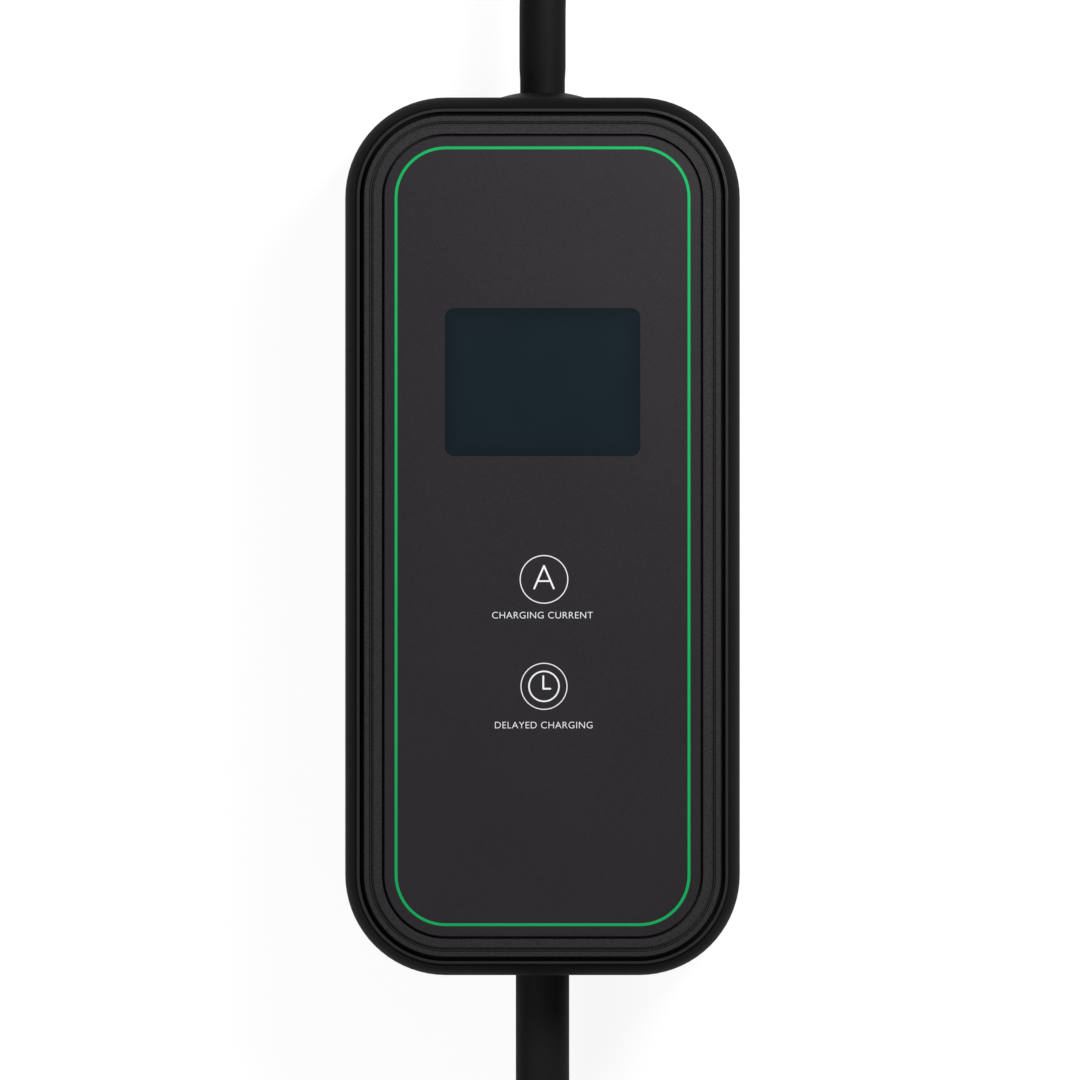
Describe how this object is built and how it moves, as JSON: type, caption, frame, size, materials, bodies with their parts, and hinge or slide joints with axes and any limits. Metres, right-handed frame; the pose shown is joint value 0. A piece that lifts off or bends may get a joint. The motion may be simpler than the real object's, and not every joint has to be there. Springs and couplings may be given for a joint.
{
  "type": "portable ev charger",
  "caption": "In-cable control box for charging an electric vehicle, with a display window and touch keys, a mains lead with plug and a vehicle lead with connector, both tied in hanks.",
  "frame": {"origin": "under the middle of the control box, on the surface that its back lies on", "axes": "+Z out of the front panel, +Y along the box towards the mains lead, +X to the panel's right"},
  "size_m": [0.1464, 0.8159, 0.1033],
  "materials": {
    "housing_plastic": "fine spark-textured moulding",
    "panel_film": "fine matt printed sheet",
    "border_ink": "satin printed line",
    "window_acrylic": "polished tinted acrylic",
    "adhesive_sheet": "adhesive foam sheet",
    "seal_rubber": "moulded silicone",
    "zinc_steel": "zinc-plated steel",
    "circuit_board": "solder-masked laminate",
    "cream_nylon": "moulded nylon",
    "flat_cable_skin": "extruded flat cable",
    "black_component": "moulded component case",
    "blue_component": "dipped lacquer",
    "yellow_component": "moulded film capacitor case",
    "fuse_ceramic": "ceramic tube with plated caps",
    "green_terminal": "moulded terminal block",
    "brown_wire": "wire insulation",
    "blue_wire": "wire insulation",
    "earth_wire": "wire insulation",
    "white_wire": "wire insulation",
    "black_rubber": "moulded rubber",
    "lead_jacket": "extruded matt jacket",
    "clamp_nylon": "moulded nylon",
    "strap_fabric": "woven hook-and-loop strap",
    "plated_brass": "nickel-plated brass",
    "connector_plastic": "moulded glass-filled nylon",
    "contact_brass": "silvered brass sleeves"
  },
  "bodies": {
    "root": {"rear_shell": "housing_plastic", "front_shell": "housing_plastic", "front_panel": "panel_film", "border_line": "border_ink", "display_window": "window_acrylic", "display_glass": "window_acrylic", "panel_bond": "adhesive_sheet", "housing_seal": "seal_rubber", "housing_screws": "zinc_steel", "board_screws": "zinc_steel", "clamp_screws": "zinc_steel", "display_can": "zinc_steel", "touch_springs": "zinc_steel", "display_board": "circuit_board", "main_board": "circuit_board", "board_headers": "cream_nylon", "flat_cable": "flat_cable_skin", "power_relays": "black_component", "controller_chip": "black_component", "buzzer": "black_component", "bulk_capacitors": "black_component", "supply_transformer": "black_component", "leakage_sensor": "blue_component", "surge_varistors": "blue_component", "filter_capacitor": "yellow_component", "line_fuse": "fuse_ceramic", "input_terminals": "green_terminal", "output_terminals": "green_terminal", "mains_line_wire": "brown_wire", "vehicle_line_wire": "brown_wire", "mains_neutral_wire": "blue_wire", "vehicle_neutral_wire": "blue_wire", "mains_earth_wire": "earth_wire", "vehicle_earth_wire": "earth_wire", "pilot_wire": "white_wire", "mains_grommet": "black_rubber", "vehicle_grommet": "black_rubber", "plug_body": "black_rubber", "connector_boot": "black_rubber", "mains_lead": "lead_jacket", "mains_hank": "lead_jacket", "mains_tail": "lead_jacket", "vehicle_lead": "lead_jacket", "vehicle_hank": "lead_jacket", "vehicle_tail": "lead_jacket", "mains_clamp": "clamp_nylon", "vehicle_clamp": "clamp_nylon", "mains_tie": "strap_fabric", "vehicle_tie": "strap_fabric", "plug_pins": "plated_brass", "plug_earth_clips": "plated_brass", "connector_left_shell": "connector_plastic", "connector_right_shell": "connector_plastic", "connector_shroud": "connector_plastic", "connector_insert": "connector_plastic", "power_towers": "connector_plastic", "signal_towers": "connector_plastic", "power_contacts": "contact_brass", "signal_contacts": "contact_brass"}
  },
  "joints": []
}
